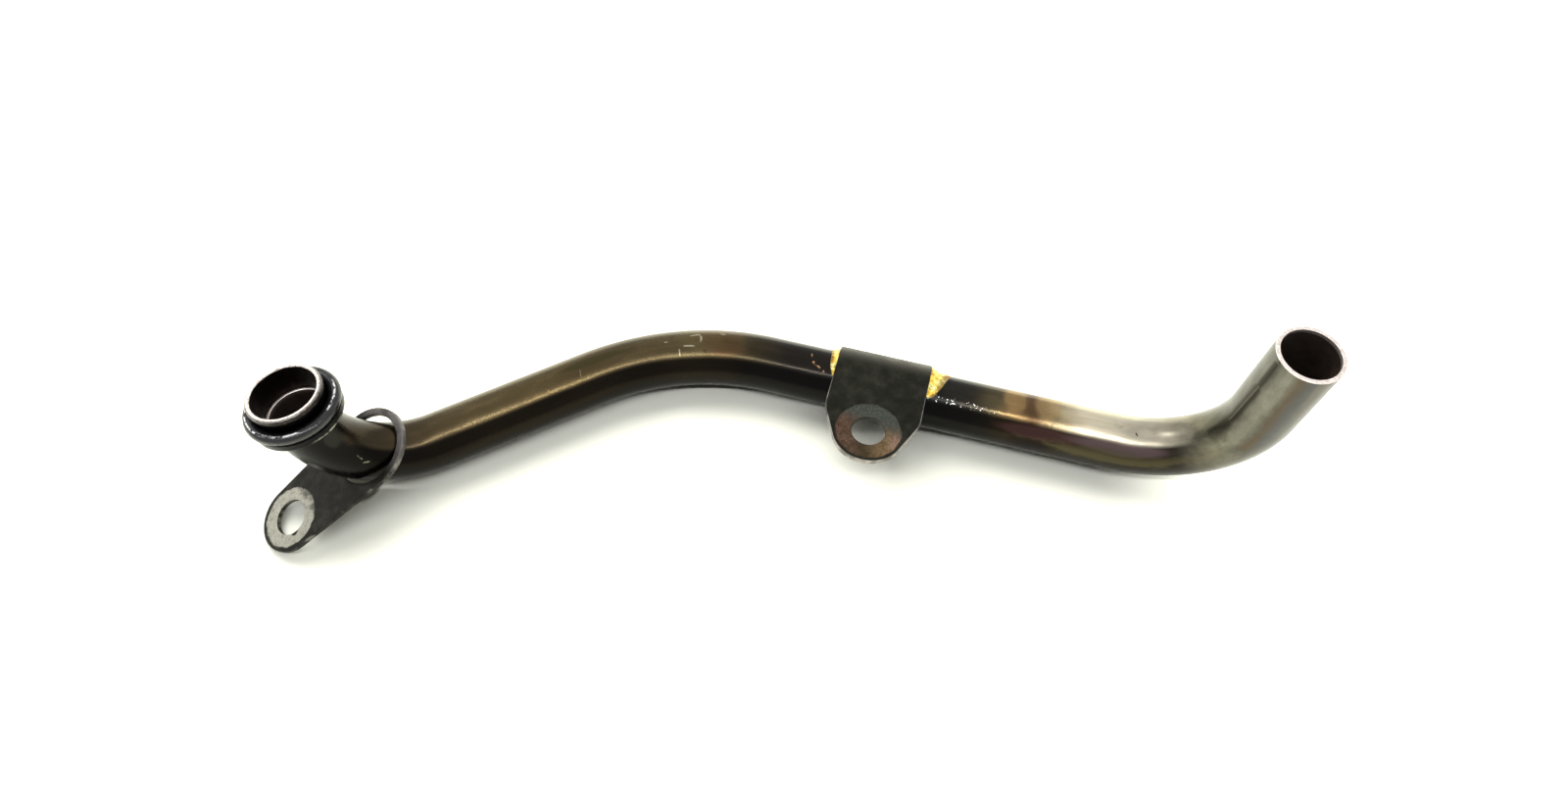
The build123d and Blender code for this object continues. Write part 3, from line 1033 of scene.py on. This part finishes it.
# braze
def build_braze(name, node, side, widths, crests, seed):
    """Metal run along one edge of the saddle. widths and crests are given at angles from the ear's normal."""
    rows = 90
    columns = 24
    film = 0.12
    highest = 1.45
    clearance = 0.02
    angles = np.linspace(braze_from, braze_to, rows)
    width = np.interp(angles, *zip(*widths))
    crest = np.interp(angles, *zip(*crests))
    angle = np.repeat(angles[:, None], columns, axis=1)
    t = np.repeat(np.linspace(0, 1, columns)[None, :], rows, axis=0)
    reach = bracket_width / 2 + clearance + t * width[:, None]
    flat = np.stack([angle.ravel() * degree_on_pipe, reach.ravel(), t.ravel() * 0], axis=1)
    bumps = lumps(flat, 0.7, seed).reshape(rows, columns)
    height = crest[:, None] * (1 - t) ** 2.4 * (1 + 0.2 * bumps) + film * (1 - t ** 6) * (1 + bumps)
    height = np.clip(height, -clearance, highest)
    along = bracket_from_middle + side * reach
    # the ear's normal leans from the pipe's top
    around = np.radians(angle - ear_tilt)
    top = on_pipe(along, around, tube_radius + clearance + height)
    base = on_pipe(along, around, np.full_like(along, tube_radius - clearance / 2))
    points = np.vstack([top.reshape(-1, 3), base.reshape(-1, 3)])
    count = rows * columns
    faces = grid_faces(rows, columns, wrap_columns=False)
    if side < 0:
        faces = [f[::-1] for f in faces]
    under = [tuple(i + count for i in f[::-1]) for f in faces]
    rim = [(0, j) for j in range(columns)] + [(i, columns - 1) for i in range(1, rows)]
    rim += [(rows - 1, j) for j in range(columns - 2, -1, -1)] + [(i, 0) for i in range(rows - 2, 0, -1)]
    ring = [i * columns + j for i, j in rim]
    walls = []
    for a, b in zip(ring, ring[1:] + ring[:1]):
        wall = (b, a, a + count, b + count)
        walls.append(wall if side > 0 else wall[::-1])
    plan = np.stack([angle.ravel() * degree_on_pipe, reach.ravel(), height.ravel()], axis=1)
    plan = np.vstack([plan, plan])
    piece = make_piece(name, points, faces + under + walls, {"plan": plan}, [braze_metal()])
    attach(piece, "root")
    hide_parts(node)


build_pipe()
build_spigot()
build_ring()
build_plate()
build_bracket()
build_braze(
    "braze_run_left",
    "left_braze",
    -1,
    [(-72, 2.6), (-45, 2.5), (-20, 2.0), (0, 1.8), (15, 1.5), (25, 1.0), (34, 0.5)],
    [(-72, 0.9), (-30, 1.2), (0, 1.3), (15, 1.1), (24, 0.6), (34, 0.1)],
    5,
)
build_braze(
    "braze_run_right",
    "right_braze",
    1,
    [(-72, 4.4), (-50, 5.2), (-36, 5.6), (-18, 4.6), (0, 3.9), (14, 3.1), (26, 2.3), (34, 1.4)],
    [(-72, 0.9), (-30, 1.3), (0, 1.4), (18, 1.2), (28, 0.7), (34, 0.1)],
    6,
)


# floor, in metres
def floor_paper():
    f = Paint("floor_paper")
    seen = f.background_seen()
    x, y, _ = f.split(f.add("ShaderNodeNewGeometry").outputs["Position"])
    # distance in front of the pipe's centre line, along Y
    left_x, left_y = -0.132, -0.007
    bend_x, bend_y = -0.049, 0.0326
    right_x, right_drop = 0.091, 0.0363
    axis_y = f.minus(
        f.between(x, left_x, bend_x, left_y, bend_y, smooth=False),
        f.between(x, bend_x, right_x, 0.0, right_drop, smooth=False),
    )
    ahead = f.minus(axis_y, y)
    # the light thrown back: strong near the pipe and round the hose end, weak far in front
    level = f.times(f.between(ahead, 0.014, 0.045, 0.4, 0.07), f.between(ahead, -0.06, -0.015, 0.55, 1.0))
    from_leg = f.length(f.minus(x, 0.075), f.plus(y, 0.005))
    level = f.most(level, f.times(f.fall(from_leg, 0.03, 0.07), 0.5))
    thrown = f.mix(level, (0.0, 0.0, 0.0), (1.0, 1.0, 0.88))
    # the seen floor glows away from the pipe, so that only the near shade is dark
    clear = f.most(f.between(ahead, 0.013, 0.036), f.fall(ahead, -0.02, -0.004))
    clear = f.most(clear, f.between(x, 0.06, 0.085))
    clear = f.most(clear, f.fall(x, -0.2, -0.16))
    glow = f.mix(clear, (0.0, 0.0, 0.0), (0.62, 0.62, 0.54))
    # deep shade under the spigot bend, where the pipe all but touches the paper
    deep = f.fall(f.length(f.plus(x, 0.1324), f.plus(y, 0.0055)), 0.0048, 0.0062)
    paper = f.mix(deep, (0.93, 0.94, 0.86), (0.1, 0.1, 0.08))
    return f.finish(
        Base_Color=f.mix(seen, thrown, paper),
        Roughness=0.9,
        Specular_IOR_Level=0.0,
        Emission_Color=f.mix(deep, glow, (0.014, 0.015, 0.011)),
        Emission_Strength=seen,
    )


floor_corners = [(-4, -4), (4, -4), (4, 4), (-4, 4)]
floor_mesh = bpy.data.meshes.new("floor")
floor_mesh.from_pydata([(x, y, surface_height * MM) for x, y in floor_corners], [], [(0, 1, 2, 3)])
floor = place_object("floor", floor_mesh)
floor_mesh.materials.append(floor_paper())


# light
def light_world():
    """White behind everything, and a grey room that lights the object, brightest at the back."""
    world = bpy.data.worlds.new("room")
    bpy.context.scene.world = world
    world.use_nodes = True
    w = Nodes(world.node_tree)
    right, back, _ = w.split(w.add("ShaderNodeTexCoord").outputs["Generated"])
    greys = ((0.33, 0.022), (0.37, 0.34), (0.5, 0.36), (0.75, 0.38), (0.9, 0.52))
    stops = [(0.0, (0.022, 0.022, 0.02))]
    stops += [(position, (level, level, level * 0.92)) for position, level in greys]
    stops += [(1.0, (0.5, 0.51, 0.45))]
    grey = w.ramp(w.between(back, -1.0, 1.0, smooth=False), stops)
    room = w.add("ShaderNodeBackground", Color=grey, Strength=w.between(right, 0.06, 0.34, 1.0, 2.1))
    white = w.add("ShaderNodeBackground", Color=(1.0, 1.0, 1.0))
    switch = w.add("ShaderNodeMixShader")
    for socket, value in zip(switch.inputs, (w.background_seen(), room.outputs[0], white.outputs[0])):
        w.put(socket, value)
    w.add("ShaderNodeOutputWorld", Surface=switch.outputs[0])


def area_light(name, place, target, width, height, power, colour=(1, 1, 1)):
    light = bpy.data.lights.new(name, "AREA")
    light.shape = "RECTANGLE"
    light.size = width
    light.size_y = height
    light.energy = power
    light.color = colour
    lamp = place_object(name, light)
    lamp.location = place
    lamp.rotation_euler = (Vector(target) - Vector(place)).to_track_quat("-Z", "Y").to_euler()
    return lamp


light_world()
origin = (0.0, 0.0, 0.0)
hose_bend = (0.075, 0.0, 0.0)
# a thin lamp overhead draws the light line along the pipe
area_light("tube_light", (0.0, -0.32, 1.05), origin, width=1.6, height=0.03, power=6.4)
# a soft panel behind, which the metal doesn't mirror
panel = area_light("panel", (-0.15, 0.75, 0.95), origin, 1.2, 0.8, 20.0, colour=(1.0, 1.0, 0.94))
panel.visible_glossy = False
area_light("spot", (-1.8, 1.42, 1.92), hose_bend, width=0.6, height=0.16, power=8.0)


# camera, solved from the photo
photo_width = 1600
focal_pixels = 999.28
sensor_width = 36.0
camera_data = bpy.data.cameras.new("camera")
camera = place_object("camera", camera_data)
bpy.context.scene.camera = camera
camera_data.sensor_width = sensor_width
camera_data.lens = focal_pixels / photo_width * sensor_width
camera_data.clip_start = 0.01
camera_place = Vector((-21.63, -106.89, 219.48)) * MM
camera_forward = Vector((0.0028, 0.4737, -0.8807)).normalized()
camera_right = Vector((1.0, -0.0006, 0.0029))
camera_right = (camera_right - camera_forward * camera_right.dot(camera_forward)).normalized()
camera_up = camera_right.cross(camera_forward)
turned = Matrix((camera_right, camera_up, -camera_forward)).transposed()
camera.matrix_world = Matrix.Translation(camera_place) @ turned.to_4x4()

bpy.context.scene.view_settings.view_transform = "Standard"
